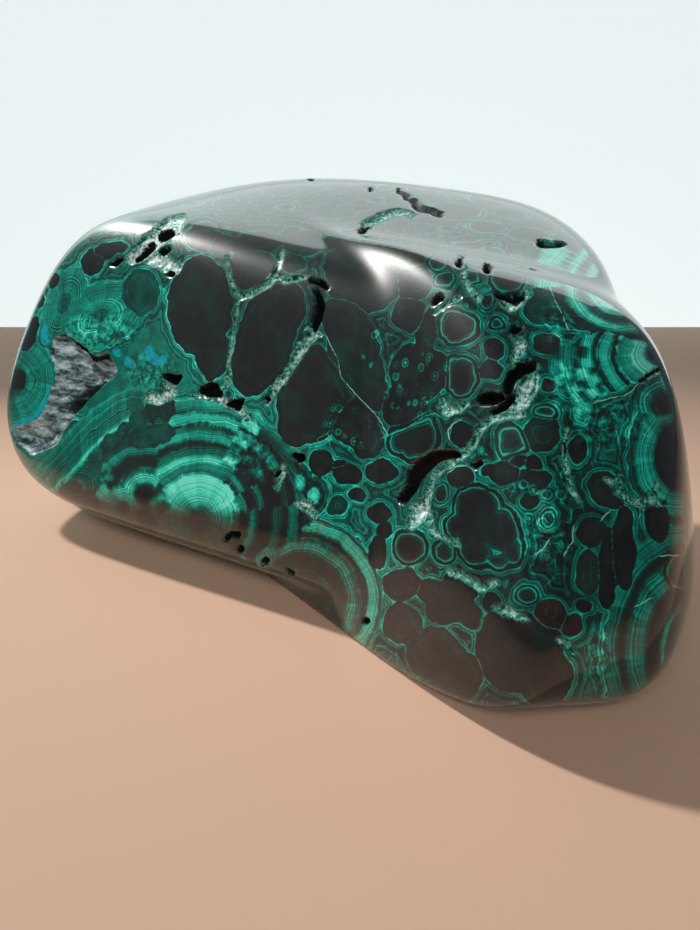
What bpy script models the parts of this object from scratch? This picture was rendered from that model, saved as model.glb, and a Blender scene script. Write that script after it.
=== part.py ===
"""Malachite specimen: one lump of malachite, ground and polished all over.

The stone is two lobes that grew together: a long body, and a round nose at the
right of its front.  Each lobe is a block with a few ground flats, and polishing
has rounded every edge between them.  Natural cavities break the polished skin.

Metres, +Z up.  The stone lies along X, its front faces -Y and it rests on Z = 0.
"""
import math

import bmesh
import bpy
import numpy as np
from mathutils import Vector, noise

MM = 0.001

# The point inside the stone that every flat is measured from, in millimetres.
HEART = np.array([4.0, 4.0, 42.0])
# How the ball that becomes the skin is stretched first, so its faces come out even.
STRETCH = np.array([95.0, 50.0, 46.0])
SKIN_SUBDIVISIONS = 6
EVENING_ROUNDS = 6
# The share of its faces that the skin keeps: large on the flats, small on the edges.
FACES_KEPT = 0.265
# Moves the finished stone, in millimetres, so that it stands centred on the origin.
SETTING = Vector((-0.25, -6.84, 0.0))
# A slab below the floor line cuts the flat base.
BASE_CUT_WIDTH = 400.0
BASE_CUT_DEPTH = 40.0

# Ground flats: name, bearing in degrees (0 is +X, -90 the front), tilt above the
# horizon in degrees, and a point in millimetres that the flat passes through.
LONG_BODY = [
    ("front", -96, 16, (-36, -30.5, 7.5)),
    ("front left", -142, 14, (-100, -26.5, 28)),
    ("left end", 180, 8, (-142.5, -4, 31)),
    ("left shoulder", 183, 28, (-89, 3.5, 62.5)),
    ("left underside", 204, -43, (-90, -2, 14)),
    ("left back", 145, 5, (-84, 44, 53)),
    ("top", -67, 69, (0, 22.5, 90.5)),
    ("top left", -150, 68, (-30.5, 29.5, 106.5)),
    ("back", 90, 5, (-18, 70, 53)),
    ("back crest", 84, 48, (-13, 61, 109)),
    ("back right", 35, 12, (74, 44, 53)),
    ("right hump", -8, 53, (80.5, 36.5, 93)),
    ("right end", 0, 8, (81.5, 18, 44)),
    ("back underside", 92, -30, (0, 60, 14)),
    ("back left crest", 130, 42, (-62, 52, 92)),
    ("front underside", -100, -58, (-44, -15.5, 3.5)),
    ("bottom", 0, -90, (0, 0, -1.5)),
]
NOSE = [
    ("front", -77, 20, (82.5, -71, 9)),
    ("brow", -75, 39, (67.5, -38.5, 64.5)),
    ("flank", -122, 14, (27.5, -32, 4)),
    ("corner", -36, 14, (121, -59.5, 6)),
    ("right", 3, 5, (97, -13, 31)),
    ("shoulder", -23, 54, (91.5, -19.5, 71)),
    ("top", -60, 72, (58.5, -10, 78.5)),
    ("saddle behind the shoulder", 77, 55, (74.5, 3, 70)),
    ("inner left", 180, 0, (-26, 0, 44)),
    ("back", 52, 12, (82, 24, 44)),
    ("inner back", 100, 0, (53, 32, 44)),
    ("underside", -72, -50, (79.5, -61.5, -9)),
    ("bottom", 0, -90, (0, 0, -1.5)),
]
# A higher number makes a tighter edge between two flats, or between the lobes.
BODY_SHARPNESS = 10
NOSE_SHARPNESS = 6
LOBE_SHARPNESS = 12
# The slow swell that hand polishing leaves in the flats.
SWELL_HEIGHT = 0.35
SWELL_LENGTH = 40.0

# Cavities: how deep the lumps' centres lie, as a share of their radius, and the
# lumps cut out of the skin, each a point near the skin and a radius in millimetres.
CAVITIES = {
    "long cavity": (0.25, [
        (57, -38.5, 43, 1.1), (55.5, -37.5, 42.5, 1.1), (53.5, -36.5, 42, 1.4),
        (51.5, -36, 41, 1.7), (50, -35.5, 39.5, 2), (48, -35, 37.5, 2),
        (47.5, -35, 35.5, 1.8), (47, -35.5, 34, 1.6), (45.5, -35.5, 32, 1.4),
    ]),
    "upper cavity": (0.25, [
        (67.5, -32.5, 58.5, 1.3), (66.5, -33.5, 58.5, 1.6), (65.5, -34.5, 57.5, 1.6),
        (65, -35.5, 56.5, 1.4), (65, -36.5, 55, 1.2), (62.5, -37, 53, 1.4),
        (61, -36.5, 53, 1.3), (64, -37.5, 53.5, 1.2), (65.5, -37.5, 53.5, 1.1),
    ]),
    "slit": (0.35, [
        (16, -16, 71.5, 1.1), (18.5, -16, 71, 1.1), (20, -16.5, 70.5, 1.1),
        (18, -17.5, 69.5, 1.1), (19, -18, 68, 1.2), (19.5, -18.5, 66.5, 1.3),
        (19.5, -19.5, 65, 1.3), (19, -20, 64, 1.3), (19, -20.5, 62, 1.1),
    ]),
    "brow pits": (0.2, [
        (48.5, -15, 75, 1.1), (54, -13.5, 74.5, 1.2), (59, -22.5, 69.5, 1.1),
        (60.5, -22.5, 69, 1.1), (61.5, -22.5, 69, 1.1), (62.5, -20.5, 69.5, 1.1),
        (63.5, -28.5, 64, 1.1), (48, -24, 69, 1.1),
    ]),
    "left pits": (0.2, [
        (-32.5, -7.5, 82, 1.8), (-30.5, -6, 83, 2.1), (-29.5, -10, 78, 1.6),
        (-27.5, -9.5, 79, 1.2), (-37.5, -10, 76.5, 1.4), (-35, -9, 79, 1.5),
        (-46.5, -9.5, 75, 1.3), (-44.5, -9.5, 76, 1.2), (-25.5, -12.5, 73, 1.3),
        (-22.5, -20, 49, 1.3), (-20.5, -20.5, 48.5, 1.7), (-10, -22, 46.5, 1.7),
        (-8, -22, 47, 2.2), (-5.5, -22.5, 46.5, 1.4), (-2, -23.5, 44, 1.4),
        (0, -23.5, 44.5, 1.8), (8.5, -24, 46.5, 1.2), (19, -28.5, 35, 1.3),
    ]),
    "low pits": (0.2, [
        (1, -31.5, 15, 1.1), (2.5, -31.5, 16, 1.1), (4.5, -31.5, 16.5, 1.1),
        (5.5, -32, 13.5, 1.4), (12, -32.5, 11.5, 1.3), (18.5, -33, 11, 1.1),
        (40, -38.5, 6.5, 1.1),
    ]),
    "top pits": (0.2, [
        (-1, 27, 92, 1.2), (4.5, 25, 90.5, 1.6), (9, 22.5, 89, 1.5), (11, 22, 88.5, 2),
        (14, 20, 87.5, 1.4), (19, 19, 86.5, 1.4), (24, 21, 86.5, 1.6), (27, 21.5, 86, 1.4),
    ]),
    "top crack": (0.3, [
        (55.5, 17, 80, 1.2), (57, 18, 79.5, 1.1), (59, 18.5, 79.5, 1.2),
        (60.5, 20, 79.5, 1.1), (63, 21.5, 79, 1),
    ]),
    "right pits": (0.2, [
        (84.5, -37, 41, 1.6), (86, -37, 40, 1.7), (87.5, -36.5, 39, 2),
        (89, -35.5, 37.5, 1.6),
    ]),
    "left hollow": (-0.45, [
        (-66.5, -14, 53.5, 7), (-54.5, -16, 51, 8), (-51.5, -17, 49, 8), (-44, -18, 48, 6),
        (-58.5, -17.5, 45, 9), (-52.5, -19, 41.5, 8.5), (-62.5, -18.5, 38.5, 8.5),
        (-65.5, -20, 32.5, 8), (-74.5, -20, 27.5, 7),
    ]),
    "hollow's deep end": (-0.05, [
        (-55, -19, 40.5, 4), (-50, -19, 42.5, 3.4), (-60.5, -19, 37.5, 3.4),
    ]),
}
# A lump smaller than this radius is a plain twenty-sided chip.
CHIP_RADIUS = 1.9
LUMP_ROUGHNESS = 0.3
LUMP_GRAIN = 1.3

STONE_COLOR = (0.012, 0.105, 0.07, 1.0)
STONE_ROUGHNESS = 0.12


def clear_scene():
    for thing in list(bpy.data.objects):
        bpy.data.objects.remove(thing, do_unlink=True)


def facing(bearing, tilt):
    """The unit vector out of a flat with this bearing and tilt in degrees."""
    b, t = math.radians(bearing), math.radians(tilt)
    return np.array([math.cos(b) * math.cos(t), math.sin(b) * math.cos(t), math.sin(t)])


def lobe_reach(ways, flats, sharpness):
    """How far a lobe reaches from the heart along each way, edges rounded."""
    total = np.zeros(len(ways))
    for _name, bearing, tilt, point in flats:
        out = facing(bearing, tilt)
        distance = (np.array(point) - HEART) @ out
        total += np.maximum(ways @ out / distance, 0.0) ** sharpness
    return total ** (-1.0 / sharpness)


def skin_points(ways):
    """Points on the polished skin along unit vectors from the heart."""
    long_body = lobe_reach(ways, LONG_BODY, BODY_SHARPNESS)
    nose = lobe_reach(ways, NOSE, NOSE_SHARPNESS)
    reach = (long_body ** LOBE_SHARPNESS + nose ** LOBE_SHARPNESS) ** (1.0 / LOBE_SHARPNESS)
    points = HEART + ways * reach[:, None]
    swell = np.array([noise.noise(Vector(point) / SWELL_LENGTH) for point in points])
    return points + ways * (swell * SWELL_HEIGHT)[:, None]


def ways_through(points):
    """Unit vectors from the heart through each point."""
    spokes = np.asarray(points, dtype=float) - HEART
    return spokes / np.linalg.norm(spokes, axis=1)[:, None]


def move_to_skin(bm):
    """Slide every vertex along its line from the heart until it lies on the skin."""
    places = np.array([vertex.co for vertex in bm.verts]) / MM
    for vertex, point in zip(bm.verts, skin_points(ways_through(places))):
        vertex.co = Vector(point * MM)


def polished_skin():
    """The whole polished skin as a finely faceted ball, before the base is cut."""
    bm = bmesh.new()
    bmesh.ops.create_icosphere(bm, subdivisions=SKIN_SUBDIVISIONS, radius=1.0)
    bmesh.ops.scale(bm, verts=bm.verts, vec=Vector(STRETCH * MM))
    bmesh.ops.translate(bm, verts=bm.verts, vec=Vector(HEART * MM))
    move_to_skin(bm)
    for _round in range(EVENING_ROUNDS):
        bmesh.ops.smooth_vert(bm, verts=bm.verts, factor=0.5, use_axis_x=True,
                              use_axis_y=True, use_axis_z=True)
        move_to_skin(bm)
    return bm


def base_cutter():
    """The slab under the floor line that leaves the flat base."""
    bm = bmesh.new()
    bmesh.ops.create_cube(bm, size=1.0)
    size = Vector((BASE_CUT_WIDTH, BASE_CUT_WIDTH, BASE_CUT_DEPTH)) * MM
    bmesh.ops.scale(bm, verts=bm.verts, vec=size)
    bmesh.ops.translate(bm, verts=bm.verts, vec=(0.0, 0.0, -BASE_CUT_DEPTH * MM / 2.0))
    return cutter_from(bm, "base_cutter")


def add_lump(bm, middle, radius):
    """One rough ball for the cutter."""
    steps = 1 if radius < CHIP_RADIUS else 2
    made = bmesh.ops.create_icosphere(bm, subdivisions=steps, radius=radius * MM)
    for vertex in made["verts"]:
        seed = vertex.co / (radius * MM) * LUMP_GRAIN + Vector(middle)
        vertex.co *= 1.0 + LUMP_ROUGHNESS * noise.noise(seed)
        vertex.co += Vector(middle * MM)


def cavity_cutter():
    """Every cavity's lumps as one wire-drawn cutter."""
    bm = bmesh.new()
    for depth, lumps in CAVITIES.values():
        ways = ways_through([lump[:3] for lump in lumps])
        for lump, way, spot in zip(lumps, ways, skin_points(ways)):
            add_lump(bm, spot - way * lump[3] * depth, lump[3])
    return cutter_from(bm, "cavity_cutter")


def object_from(bm, name):
    bmesh.ops.translate(bm, verts=bm.verts, vec=SETTING * MM)
    mesh = bpy.data.meshes.new(name)
    bm.to_mesh(mesh)
    bm.free()
    thing = bpy.data.objects.new(name, mesh)
    bpy.context.scene.collection.objects.link(thing)
    return thing


def cutter_from(bm, name):
    cutter = object_from(bm, name)
    cutter.hide_render = True
    cutter.display_type = "WIRE"
    return cutter


def cut_away(stone, name, cutter):
    cut = stone.modifiers.new(name, "BOOLEAN")
    cut.operation = "DIFFERENCE"
    cut.solver = "EXACT"
    cut.use_self = True
    cut.object = cutter


def stone_material():
    material = bpy.data.materials.new("polished malachite")
    material.use_nodes = True
    shader = material.node_tree.nodes["Principled BSDF"]
    shader.inputs["Base Color"].default_value = STONE_COLOR
    shader.inputs["Roughness"].default_value = STONE_ROUGHNESS
    shader.inputs["Metallic"].default_value = 0.0
    return material


def make_stone():
    stone = object_from(polished_skin(), "malachite_stone")
    stone.data.materials.append(stone_material())
    fewer = stone.modifiers.new("fewer faces on the flats", "DECIMATE")
    fewer.ratio = FACES_KEPT
    cut_away(stone, "base", base_cutter())
    cut_away(stone, "cavities", cavity_cutter())
    return stone


clear_scene()
make_stone()
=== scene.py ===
import math

import bmesh
import bpy
import numpy as np
from mathutils import Matrix, Vector, noise


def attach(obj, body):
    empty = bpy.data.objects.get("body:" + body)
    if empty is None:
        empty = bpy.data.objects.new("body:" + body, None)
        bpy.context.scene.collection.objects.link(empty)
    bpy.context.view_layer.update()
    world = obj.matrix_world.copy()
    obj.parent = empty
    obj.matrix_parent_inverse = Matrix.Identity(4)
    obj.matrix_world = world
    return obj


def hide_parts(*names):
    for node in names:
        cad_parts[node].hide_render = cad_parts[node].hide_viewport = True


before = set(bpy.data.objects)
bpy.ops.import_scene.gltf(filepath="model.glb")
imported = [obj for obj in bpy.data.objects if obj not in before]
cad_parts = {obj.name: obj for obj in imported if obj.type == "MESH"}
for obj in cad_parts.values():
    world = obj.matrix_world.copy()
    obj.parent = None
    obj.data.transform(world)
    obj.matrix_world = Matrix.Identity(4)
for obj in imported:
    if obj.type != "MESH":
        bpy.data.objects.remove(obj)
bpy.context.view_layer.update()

MM = 0.001


# --- The polished skin: the same ground flats as the solid, in millimetres ---

# The heart that the skin is measured from, the half sizes of the ball that it starts as,
# and how far the stone is moved so that it stands over the middle of the frame.
HEART = np.array([4.0, 4.0, 42.0])
STRETCH = np.array([95.0, 50.0, 46.0])
SETTING = np.array([-0.25, -6.84, 0.0])
# Each ground flat of the two lobes: bearing and tilt in degrees, and a point it runs through.
LONG_BODY = [
    ("front", -96, 16, (-36, -30.5, 7.5)),
    ("front left", -142, 14, (-100, -26.5, 28)),
    ("left end", 180, 8, (-142.5, -4, 31)),
    ("left shoulder", 183, 28, (-89, 3.5, 62.5)),
    ("left underside", 204, -43, (-90, -2, 14)),
    ("left back", 145, 5, (-84, 44, 53)),
    ("top", -67, 69, (0, 22.5, 90.5)),
    ("top left", -150, 68, (-30.5, 29.5, 106.5)),
    ("back", 90, 5, (-18, 70, 53)),
    ("back crest", 84, 48, (-13, 61, 109)),
    ("back right", 35, 12, (74, 44, 53)),
    ("right hump", -8, 53, (80.5, 36.5, 93)),
    ("right end", 0, 8, (81.5, 18, 44)),
    ("back underside", 92, -30, (0, 60, 14)),
    ("back left crest", 130, 42, (-62, 52, 92)),
    ("front underside", -100, -58, (-44, -15.5, 3.5)),
    ("bottom", 0, -90, (0, 0, -1.5)),
]
NOSE = [
    ("front", -77, 20, (82.5, -71, 9)),
    ("brow", -75, 39, (67.5, -38.5, 64.5)),
    ("flank", -122, 14, (27.5, -32, 4)),
    ("corner", -36, 14, (121, -59.5, 6)),
    ("right", 3, 5, (97, -13, 31)),
    ("shoulder", -23, 54, (91.5, -19.5, 71)),
    ("top", -60, 72, (58.5, -10, 78.5)),
    ("saddle behind the shoulder", 77, 55, (74.5, 3, 70)),
    ("inner left", 180, 0, (-26, 0, 44)),
    ("back", 52, 12, (82, 24, 44)),
    ("inner back", 100, 0, (53, 32, 44)),
    ("underside", -72, -50, (79.5, -61.5, -9)),
    ("bottom", 0, -90, (0, 0, -1.5)),
]
# How crisp the edges between flats are, and the edge between the lobes.
BODY_SHARPNESS = 10
NOSE_SHARPNESS = 6
LOBE_SHARPNESS = 12
# The slight swell that hand polishing leaves.
SWELL_HEIGHT = 0.35
SWELL_LENGTH = 40.0

# The step to either side that finds a normal, and the way that sets which side.
NORMAL_STEP = 0.002
ASKEW = (0.31, 0.22, 0.92)
SKIN_SUBDIVISIONS = 5
EVENING_ROUNDS = 6
SPLIT_ROUNDS = 5
# Longest edges along growth lines and away from them: on the show face in pixels of the
# view, and elsewhere in millimetres; how near a line counts as on it.
SHOW_EDGES = (2.4, 5.0)
PLAIN_EDGES = (1.5, 3.0)
BASE_EDGE = 4.0
LINE_REACH = 0.25
# The least squareness that shortens edges, and where the show face's fineness sets in.
LEAST_SQUARENESS = 0.3
FINE_FROM = 0.05
FINE_OVER = 0.1


# --- The viewpoint ---

VIEW_PLACE = np.array([92.0, -153.0, 75.0]) + SETTING
VIEW_BEARING = math.radians(26)
VIEW_DIP = math.radians(16)
PICTURE = (700, 930)
FOCAL = 700.0


def facing(bearing, tilt):
    """The unit vector out of a flat with this bearing and tilt in degrees."""
    b, t = math.radians(bearing), math.radians(tilt)
    return np.array([math.cos(b) * math.cos(t), math.sin(b) * math.cos(t), math.sin(t)])


def lobe_reach(ways, flats, sharpness):
    """How far a lobe reaches from the heart along each way, edges rounded."""
    total = np.zeros(len(ways))
    for _name, bearing, tilt, point in flats:
        out = facing(bearing, tilt)
        distance = (np.array(point) - HEART) @ out
        total += np.maximum(ways @ out / distance, 0.0) ** sharpness
    return total ** (-1.0 / sharpness)


def smooth_skin(ways):
    """Points on the skin along unit vectors from the heart, before the swell."""
    long_body = lobe_reach(ways, LONG_BODY, BODY_SHARPNESS)
    nose = lobe_reach(ways, NOSE, NOSE_SHARPNESS)
    reach = (long_body ** LOBE_SHARPNESS + nose ** LOBE_SHARPNESS) ** (1.0 / LOBE_SHARPNESS)
    return HEART + ways * reach[:, None]


def noise_at(points, scale):
    return np.array([noise.noise(Vector(point)) for point in points * scale])


def skin_points(ways):
    points = smooth_skin(ways)
    return points + ways * (noise_at(points, 1.0 / SWELL_LENGTH) * SWELL_HEIGHT)[:, None]


def unit(vectors):
    return vectors / np.linalg.norm(vectors, axis=-1, keepdims=True)


def skin_normals(ways):
    """Outward unit normals of the skin, by small steps to either side."""
    side = unit(np.cross(ways, ASKEW))
    steps = [side * NORMAL_STEP, np.cross(side, ways) * NORMAL_STEP]
    across, along = [smooth_skin(unit(ways + step)) - smooth_skin(unit(ways - step))
                     for step in steps]
    normals = unit(np.cross(across, along))
    return normals * np.sign((normals * ways).sum(axis=1, keepdims=True))


AHEAD = np.array([-math.sin(VIEW_BEARING) * math.cos(VIEW_DIP),
                  math.cos(VIEW_BEARING) * math.cos(VIEW_DIP), -math.sin(VIEW_DIP)])
RIGHT = np.array([math.cos(VIEW_BEARING), math.sin(VIEW_BEARING), 0.0])
UP = np.cross(RIGHT, AHEAD)


def picture_place(points):
    """Where points land in the view, in its pixels, and how deep they lie."""
    spokes = points + SETTING - VIEW_PLACE
    depth = spokes @ AHEAD
    x = PICTURE[0] / 2 + FOCAL * (spokes @ RIGHT) / depth
    y = PICTURE[1] / 2 - FOCAL * (spokes @ UP) / depth
    return x, y, depth


def squareness(points, normals):
    """How squarely the skin faces the viewpoint: 1 straight on, 0 edge on or past."""
    return np.maximum((unit(VIEW_PLACE - SETTING - points) * normals).sum(axis=1), 0.0)


def vertex_places(bm):
    return np.array([vertex.co for vertex in bm.verts]) / MM


def ways_through(points):
    return unit(points - HEART)


def move_to_skin(bm):
    for vertex, point in zip(bm.verts, skin_points(ways_through(vertex_places(bm)))):
        vertex.co = Vector(point * MM)


def even_out(bm, rounds):
    for _round in range(rounds):
        bmesh.ops.smooth_vert(bm, verts=bm.verts, factor=0.5, use_axis_x=True,
                              use_axis_y=True, use_axis_z=True)
        move_to_skin(bm)


def longest_edges(points, square, choice):
    """The longest edge wanted at each point, in millimetres: on lines 0, off them 1."""
    _x, _y, depth = picture_place(points)
    fine = SHOW_EDGES[choice] * depth / FOCAL / np.clip(square, LEAST_SQUARENESS, 1.0) ** 0.5
    shown = np.clip((square - FINE_FROM) / FINE_OVER, 0.0, 1.0)
    plain = PLAIN_EDGES[choice]
    wanted = plain + (np.minimum(fine, plain) - plain) * shown
    return np.where(points[:, 2] < -1.0, BASE_EDGE, wanted)


def drop_folded_faces(bm):
    """Take away any pair of faces folded back to back, left where cuts met."""
    tips = [vertex for vertex in bm.verts if len(vertex.link_edges) == 2]
    bmesh.ops.delete(bm, geom=tips, context="VERTS")


def split_long_edges(bm):
    """Cut every edge that is too long for how near it lies to a growth line."""
    bm.verts.index_update()
    points = vertex_places(bm)
    square = squareness(points, skin_normals(ways_through(points)))
    near = line_nearness(grown_fields(points, square))
    on_lines = longest_edges(points, square, 0)
    off_lines = longest_edges(points, square, 1)
    ends = np.array([[vertex.index for vertex in edge.verts] for edge in bm.edges])
    length = np.linalg.norm(points[ends[:, 0]] - points[ends[:, 1]], axis=1)
    lined = near[ends].min(axis=1) < LINE_REACH + length / 2
    wanted = np.where(lined, on_lines[ends].min(axis=1), off_lines[ends].min(axis=1))
    long = [edge for edge, cut in zip(bm.edges, length > wanted) if cut]
    bmesh.ops.subdivide_edges(bm, edges=long, cuts=1)
    bmesh.ops.triangulate(bm, faces=bm.faces)
    drop_folded_faces(bm)
    move_to_skin(bm)


def skin_ball():
    """The whole skin as one closed mesh, finest where it faces the viewpoint."""
    bm = bmesh.new()
    bmesh.ops.create_icosphere(bm, subdivisions=SKIN_SUBDIVISIONS, radius=1.0)
    bmesh.ops.scale(bm, verts=bm.verts, vec=Vector(STRETCH * MM))
    bmesh.ops.translate(bm, verts=bm.verts, vec=Vector(HEART * MM))
    move_to_skin(bm)
    even_out(bm, EVENING_ROUNDS)
    for _round in range(SPLIT_ROUNDS):
        split_long_edges(bm)
        even_out(bm, 1)
    return bm


# --- What grew where on the show face: x, y and sizes in the view's pixels ---

# Dark nodules: lightness of the heart, warmth and depth of a bright inner ring (0: none),
# then the blobs that make up each: x, y, half width, half height and lean, if any.
NODULES = [
    # upper left, the three great dark ones and their neighbours
    (.1, .1, 0, (200, 306, 33, 50), (212, 350, 18, 31)),
    (.09, .1, 0, (266, 338, 29, 53, 12), (250, 366, 20, 32), (287, 306, 20, 26)),
    (.1, 0, 0, (252, 268, 24, 23)), (.12, 0, 0, (294, 264, 13, 9, -10)),
    (.17, .7, 0, (202, 237, 17, 14, -15)), (.13, .8, 0, (223, 245, 13, 10, -10)),
    (.1, .2, 0, (316, 398, 38, 46, 25), (296, 425, 18, 22), (312, 366, 20, 22)),
    (.11, .1, 0, (352, 352, 26, 46), (372, 385, 16, 30), (345, 318, 24, 26)),
    (.1, .2, 0, (352, 420, 26, 24), (368, 440, 18, 18)),
    # the dark brow
    (.08, 0, 0, (256, 244, 27, 12, -8)), (.12, 0, 0, (303, 243, 19, 14), (292, 236, 12, 9)),
    (.11, .1, 0, (362, 282, 38, 32, 20), (348, 262, 24, 24)),
    (.1, .1, 0, (398, 256, 27, 15, 10), (375, 246, 18, 9)), (.07, 0, 0, (334, 244, 13, 10)),
    # left end
    (.05, 0, 0, (92, 262, 12, 14, 10)), (.06, 0, 0, (108, 250, 20, 8, -15)),
    (.04, 0, 0, (54, 281, 5, 8, 30)), (.05, 0, 0, (38, 300, 6, 10, 25)),
    (.06, 0, 0, (30, 334, 7, 18, 15)), (.05, 0, 0, (16, 379, 10, 11)),
    (.28, 0, 0, (141, 292, 19, 24)),
    # centre right
    (.13, .1, 0, (414, 281, 19, 19)), (.1, .1, 0, (412, 316, 21, 18)),
    (.06, 0, .6, (438, 263, 12, 10)), (.04, 0, .5, (444, 279, 12, 11)),
    (.05, 0, .55, (472, 277, 9, 9)), (.05, 0, .45, (487, 302, 10, 10)),
    (.55, 0, 0, (485, 293, 5, 4)), (.05, 0, .6, (497, 322, 9, 9)),
    (.08, .1, .8, (507, 279, 20, 17)), (.08, 0, 0, (465, 250, 16, 7)),
    (.07, 0, 0, (491, 256, 12, 8)), (.08, .3, .8, (458, 327, 22, 21)),
    (.07, .3, .7, (461, 376, 19, 23)), (.06, .5, 0, (494, 350, 12, 11)),
    (.06, .4, 0, (490, 370, 12, 11)),
    (.05, .1, 0, (426, 330, 12, 26), (418, 372, 30, 30), (404, 408, 22, 26)),
    (.12, .4, 0, (547, 344, 14, 12)), (.2, 0, 0, (538, 310, 14, 14)),
    (.13, .6, 0, (548, 385, 8, 8)), (.05, 0, .9, (414, 437, 28, 26, -20)),
    (.02, 0, 0, (462, 434, 14, 14)),
    # lower right, grey-violet over near black
    (.14, .3, .7, (511, 443, 19, 20)), (.14, .3, 0, (541, 434, 19, 18)),
    (.13, .2, .5, (546, 411, 12, 9)), (.08, .3, 0, (460, 477, 13, 11)),
    (.05, .1, .4, (441, 493, 9, 11)),
    (.03, 0, .7, (477, 507, 27, 25), (498, 530, 26, 25), (456, 527, 13, 16), (512, 549, 14, 17),
     (478, 552, 20, 16), (498, 560, 16, 11), (476, 532, 22, 22)),
    (.04, 0, 0, (502, 474, 16, 13), (488, 470, 8, 8)), (.06, .2, .8, (410, 547, 19, 20)),
    (.05, 0, .7, (444, 551, 12, 15)), (.07, .3, 0, (381, 471, 16, 13)),
    (.07, .3, 0, (379, 513, 12, 11), (384, 530, 9, 9)), (.06, .2, 0, (378, 552, 10, 18)),
    (.06, .5, 0, (402, 584, 19, 17)), (.12, .6, 0, (402, 624, 20, 22)),
    (.05, .1, 0, (450, 603, 26, 22), (432, 592, 16, 13), (466, 590, 14, 12), (470, 615, 14, 14)),
    (.05, 0, 0, (452, 577, 8, 6)), (.05, 0, 0, (490, 600, 9, 9)), (.06, 0, .5, (528, 596, 14, 12)),
    (.08, .9, 0, (549, 615, 18, 17)), (.08, 1, 0, (572, 625, 12, 12)),
    (.04, 0, 0, (583, 606, 9, 7)),
    (.04, .2, 0, (520, 652, 45, 42), (506, 628, 24, 20), (546, 676, 28, 32)),
    (.11, .5, 0, (436, 655, 32, 26, 20), (462, 676, 24, 24)), (.09, .1, 0, (577, 450, 10, 14)),
    (.06, .2, 0, (606, 490, 22, 16, 35)), (.1, .3, 0, (591, 533, 15, 17)),
    (.11, .3, 0, (588, 572, 12, 24)), (.03, .1, 0, (607, 568, 10, 42)),
    (.03, .1, 0, (624, 548, 14, 42)), (.04, .2, 0, (657, 521, 13, 22, -10)),
    (.06, .8, .6, (684, 572, 20, 21)), (.06, .3, 0, (517, 459, 10, 9)),
    (.07, .2, 0, (534, 464, 9, 8)), (.1, 0, .3, (547, 493, 8, 8)), (.09, 0, 0, (530, 500, 10, 9)),
    (.09, 0, .4, (549, 518, 9, 9)), (.12, .1, 0, (534, 480, 16, 12)),
    # between the fans and the lower right
    (.07, .2, 0, (321, 463, 13, 14)), (.07, .2, 0, (348, 475, 15, 11, 10)),
    (.06, .1, 0, (339, 464, 7, 5)), (.08, .1, 0, (357, 495, 10, 7)),
    (.16, 0, 0, (338, 506, 10, 10)), (.18, 0, .4, (228, 395, 6, 7)),
    # the cogs above the left fans
    (.22, 0, 0, (112, 441, 9, 9), (124, 432, 9, 10), (139, 420, 10, 12)),
    (.2, 0, 0, (152, 412, 8, 12), (166, 410, 10, 13)), (.24, 0, 0, (150, 436, 26, 12, -12)),
]

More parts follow.
